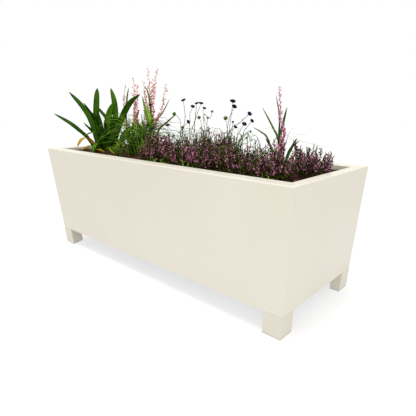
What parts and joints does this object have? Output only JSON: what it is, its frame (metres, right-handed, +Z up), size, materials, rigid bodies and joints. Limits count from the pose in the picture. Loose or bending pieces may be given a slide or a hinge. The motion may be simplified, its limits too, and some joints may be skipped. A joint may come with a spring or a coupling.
{
  "type": "raised planter",
  "caption": "Long tapered planter box in cream coated sheet steel on short flush corner legs, with a flat inward rim, filled with compost and planted with grasses, heather and scabious.",
  "frame": {"origin": "on the ground, under the middle of the body", "axes": "+X along the length to the right, -Y the front, +Z up"},
  "size_m": [1.2, 0.43, 0.7079],
  "materials": {
    "cream_coat": "fine satin powder coat over galvanised sheet",
    "galvanised_steel": "dull galvanised sheet, hidden inside",
    "zinc_fixings": "bright zinc plate",
    "black_plastic": "moulded black plastic",
    "clay": "loose fired clay pebbles, mostly air between them",
    "fleece": "felted non-woven filter fleece",
    "compost": "damp crumbly compost with bark",
    "strap_leaf": "smooth waxy leaf with fine ribs along it",
    "fine_leaf": "matt narrow leaf",
    "pink_flower": "soft small petals",
    "scabious_flower": "velvety dark flower head on a wiry stem",
    "heather": "woody sprigs with small waxy bells"
  },
  "bodies": {
    "root": {"front_panel": "cream_coat", "back_panel": "cream_coat", "left_end_panel": "cream_coat", "right_end_panel": "cream_coat", "front_ledge": "galvanised_steel", "back_ledge": "galvanised_steel", "left_ledge": "galvanised_steel", "right_ledge": "galvanised_steel", "base_plate": "galvanised_steel", "base_channel_left": "galvanised_steel", "base_channel_middle": "galvanised_steel", "base_channel_right": "galvanised_steel", "cross_brace_left": "galvanised_steel", "cross_brace_right": "galvanised_steel", "leg_front_left": "cream_coat", "leg_front_right": "cream_coat", "leg_back_left": "cream_coat", "leg_back_right": "cream_coat", "corner_plate_front_left": "galvanised_steel", "corner_plate_front_right": "galvanised_steel", "corner_plate_back_left": "galvanised_steel", "corner_plate_back_right": "galvanised_steel", "leg_bolts": "zinc_fixings", "leg_washers": "zinc_fixings", "leg_nuts": "zinc_fixings", "glide_front_left": "black_plastic", "glide_front_right": "black_plastic", "glide_back_left": "black_plastic", "glide_back_right": "black_plastic", "drain_bushes": "black_plastic", "clay_pebbles": "clay", "filter_fleece": "fleece", "compost": "compost", "strap_leaf_plant": "strap_leaf", "fine_grass": "fine_leaf", "pink_spikes": "pink_flower", "scabious_left": "scabious_flower", "scabious_right": "scabious_flower", "spiked_grass": "fine_leaf", "heather_1": "heather", "heather_2": "heather", "heather_3": "heather", "heather_4": "heather", "heather_5": "heather", "heather_6": "heather", "heather_7": "heather", "heather_8": "heather"}
  },
  "joints": []
}
